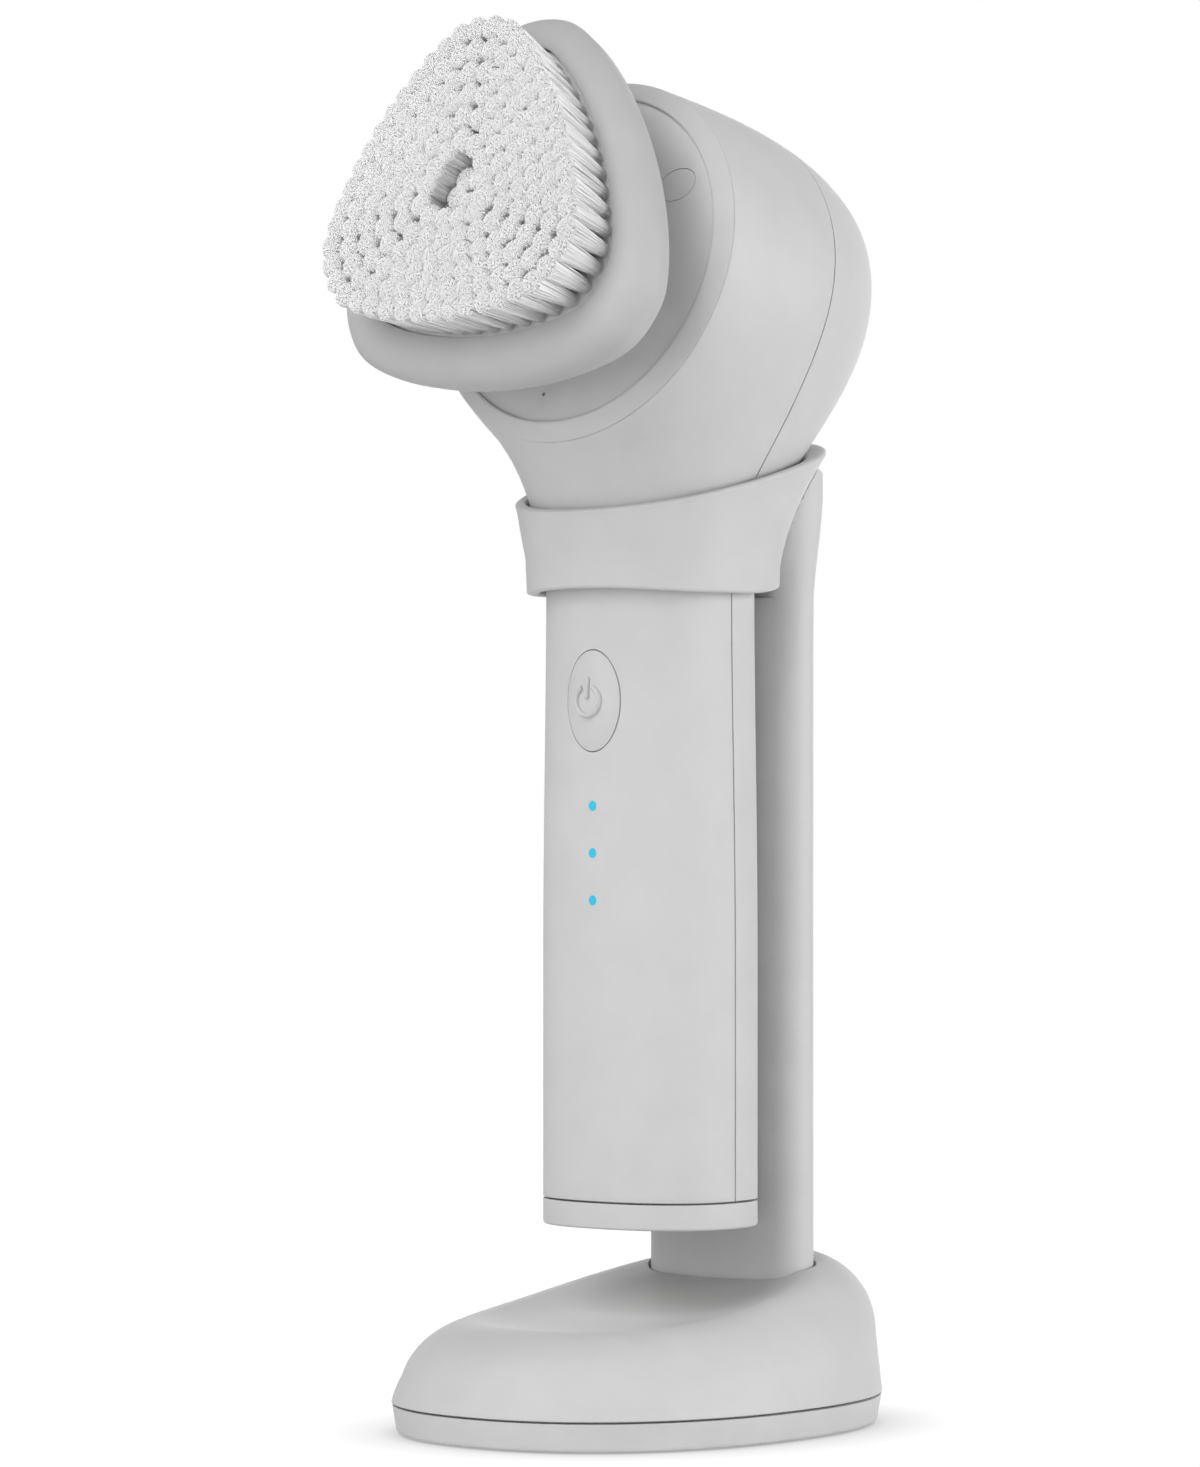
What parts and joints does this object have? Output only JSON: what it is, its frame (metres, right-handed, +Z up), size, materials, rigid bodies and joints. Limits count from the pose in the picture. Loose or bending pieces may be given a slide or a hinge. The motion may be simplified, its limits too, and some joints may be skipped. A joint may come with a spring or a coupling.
{
  "type": "powered massage brush",
  "caption": "Powered skin brush with an angled, tufted pull-off head, a button and indicator lights on a straight grip, hanging by its neck in a weighted stand.",
  "frame": {"origin": "middle of the foot pad's underside, on the floor under the middle of the base", "axes": "+Z up along the post and grip, -Y the way the brush faces, +X to the right seen from behind the brush"},
  "size_m": [0.0684, 0.0946, 0.2246],
  "materials": {
    "shell_grey": "matte soft-touch",
    "face_grey": "matte",
    "button_grey": "matte",
    "pad_grey": "matte, soft",
    "nylon": "satin fibres",
    "foot_rubber": "matte",
    "dark_rubber": "matte",
    "dark_plastic": "matte",
    "lens": "clear, lit",
    "emitter": "gloss",
    "board": "satin lacquer",
    "cell": "sleeved cell",
    "steel": "plain",
    "magnet": "plated",
    "brass": "plain"
  },
  "bodies": {
    "stand": {"foot_pad": "foot_rubber", "base_plate": "shell_grey", "base_shell": "shell_grey", "base_weight": "steel", "base_screws": "steel", "stand_post": "shell_grey", "post_screws": "steel", "cradle_ring": "shell_grey"},
    "handpiece": {"front_shell": "shell_grey", "rear_shell": "shell_grey", "bezel_ring": "shell_grey", "face_plate": "face_grey", "face_plug": "face_grey", "end_cap": "shell_grey", "cap_seal": "dark_rubber", "charge_contacts": "brass", "button_seal": "dark_rubber", "led_lens_1": "lens", "led_lens_2": "lens", "led_lens_3": "lens", "circuit_board": "board", "tact_switch": "dark_plastic", "led_emitters": "emitter", "battery": "cell", "chassis": "dark_plastic", "motor_can": "steel", "motor_end": "steel", "motor_screws": "steel", "front_bush": "brass", "rear_bush": "brass", "shaft_seal": "dark_rubber"},
    "button": {"power_button": "button_grey"},
    "drive": {"motor_rotor": "magnet", "drive_shaft": "steel"},
    "brush_head": {"brush_pad": "pad_grey", "brush_back": "face_grey", "hub_clip": "steel", "bristles": "nylon"}
  },
  "joints": [
    {"name": "brush_lift", "type": "slide", "parent": "stand", "child": "handpiece", "axis": [0, 0, 1], "range_m": [0, 0.13]},
    {"name": "button_press", "type": "slide", "parent": "handpiece", "child": "button", "axis": [0, 1, 0], "range_m": [0, 0.0006], "stiffness_N_per_m": 400},
    {"name": "shaft_swing", "type": "hinge", "parent": "handpiece", "child": "drive", "pos_m": [0, -0.01355, 0.1868], "axis": [0, -0.9659, 0.2588], "range_deg": [-5, 5], "stiffness_Nm_per_rad": 0.05},
    {"name": "head_pull", "type": "slide", "parent": "drive", "child": "brush_head", "axis": [0, -0.9659, 0.2588], "range_m": [0, 0.03]}
  ]
}
